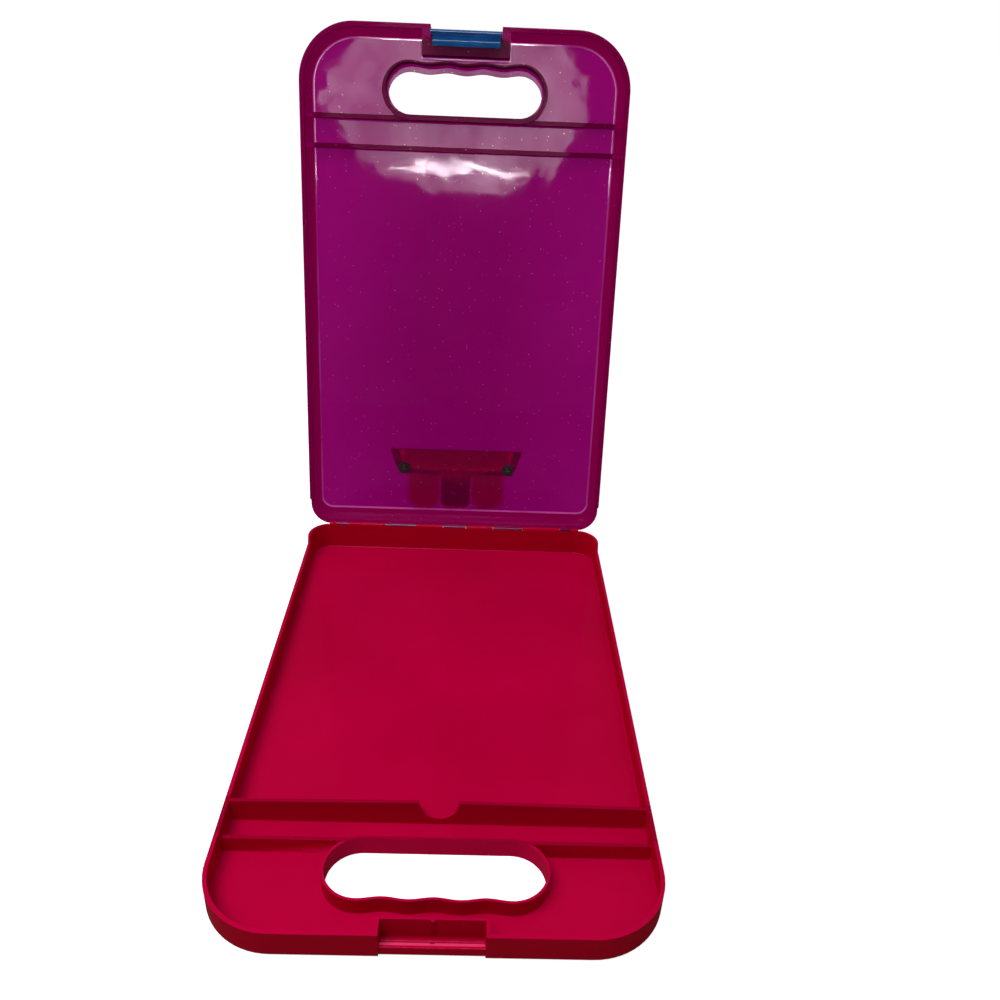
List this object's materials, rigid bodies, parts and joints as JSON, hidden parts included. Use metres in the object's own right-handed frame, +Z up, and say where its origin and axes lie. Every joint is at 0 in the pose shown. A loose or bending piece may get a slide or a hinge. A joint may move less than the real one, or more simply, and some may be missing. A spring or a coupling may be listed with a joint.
{
  "type": "storage clipboard box",
  "caption": "Shallow crimson document tray with a translucent violet glitter lid hinged at one end, blue latch, handle hole and a low spring clip on the lid.",
  "frame": {"origin": "centre of the tray's flat underside", "axes": "+X to the right seen from the handle end, +Y from the handle end to the hinge, +Z up"},
  "size_m": [0.25, 0.4794, 0.4127],
  "materials": {
    "crimson_plastic": "moulded, semi-gloss, slightly translucent",
    "violet_glitter": "translucent violet with fine silver glitter",
    "blue_clear": "translucent blue",
    "crimson_lever": "moulded, semi-gloss",
    "steel": "zinc plated"
  },
  "bodies": {
    "base": {"base_tray": "crimson_plastic", "hinge_rod": "steel"},
    "lid": {"lid_shell": "violet_glitter", "clip_plate": "steel", "clip_axle": "steel", "clip_spring": "steel", "rivet_left": "steel", "rivet_right": "steel", "washer_left": "steel", "washer_right": "steel"},
    "latch": {"latch": "blue_clear"},
    "clip": {"clip_lever": "crimson_lever"}
  },
  "joints": [
    {"name": "lid_hinge", "type": "hinge", "parent": "base", "child": "lid", "pos_m": [0, 0.1975, 0.02415], "axis": [1, 0, 0], "range_deg": [0, 101.3]},
    {"name": "latch_hinge", "type": "hinge", "parent": "lid", "child": "latch", "pos_m": [0, 0.27613, 0.40156], "axis": [1, 0, 0], "range_deg": [-95, 0]},
    {"name": "clip_hinge", "type": "hinge", "parent": "lid", "child": "clip", "pos_m": [0, 0.22176, 0.0657], "axis": [-1, 0, 0], "range_deg": [0, 13], "stiffness_Nm_per_rad": 0.6, "springref_deg": -28.65, "deforming": ["clip_spring"]}
  ]
}
